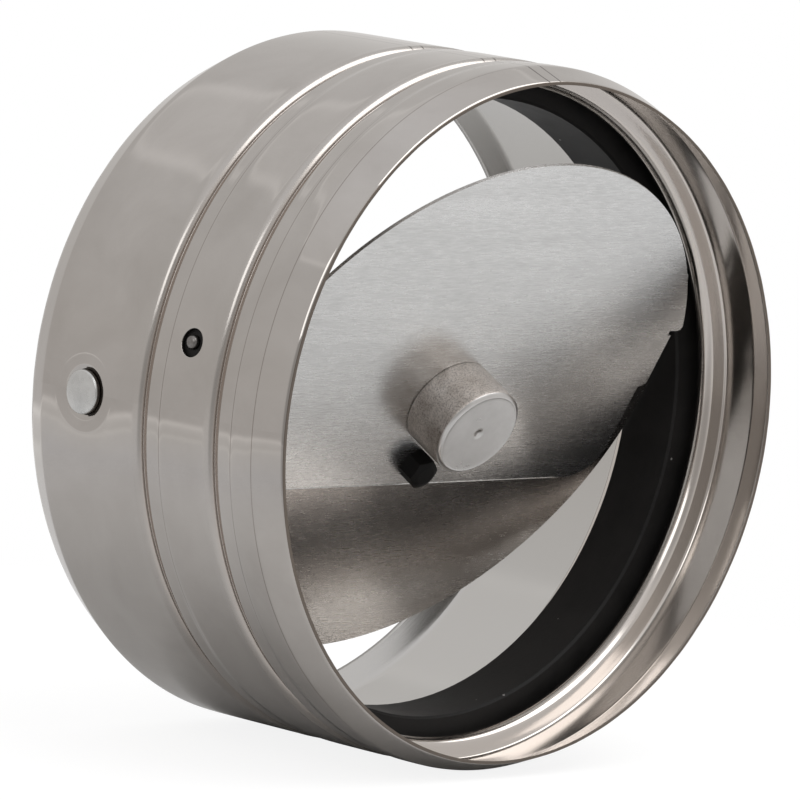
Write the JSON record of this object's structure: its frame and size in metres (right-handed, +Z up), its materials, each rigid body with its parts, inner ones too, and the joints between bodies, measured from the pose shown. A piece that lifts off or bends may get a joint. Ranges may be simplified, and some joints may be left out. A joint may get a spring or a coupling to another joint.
{
  "type": "duct airflow stabilizer",
  "caption": "Round steel duct insert with two pressed beads, a black inner ring and a weighted swinging flap.",
  "frame": {"origin": "on the tube's centre line, in the upright plane that holds the flap's axle, between the two beads", "axes": "+Y along the tube from its front opening to its rear, +Z up, +X along the flap's axle, to the right seen from the front"},
  "size_m": [0.1526, 0.0803, 0.15],
  "materials": {
    "tube_steel": "bright rolled sheet",
    "blade_steel": "fine brushed sheet",
    "pin_steel": "turned",
    "weight_steel": "rough side, turned face",
    "zinc_steel": "bright plated",
    "bolt_black": "blackened",
    "ring_black": "moulded, satin"
  },
  "bodies": {
    "tube": {"tube_shell": "tube_steel", "seal_ring": "ring_black", "stop_pin_left": "pin_steel", "stop_pin_right": "pin_steel"},
    "flap": {"front_blade": "blade_steel", "rear_blade": "blade_steel", "axle": "pin_steel", "axle_saddle_left": "blade_steel", "axle_saddle_right": "blade_steel", "saddle_rivets": "pin_steel", "counterweight": "weight_steel", "weight_screw": "zinc_steel", "weight_screw_washer": "zinc_steel", "weight_spacer": "zinc_steel", "blade_bolt": "bolt_black", "blade_bolt_washer": "zinc_steel", "bolt_spacer": "zinc_steel", "blade_bolt_nut": "zinc_steel"}
  },
  "joints": [
    {"name": "flap_swing", "type": "hinge", "parent": "tube", "child": "flap", "pos_m": [0, 0, 0.0147], "axis": [1, 0, 0], "range_deg": [-28, 35]}
  ]
}
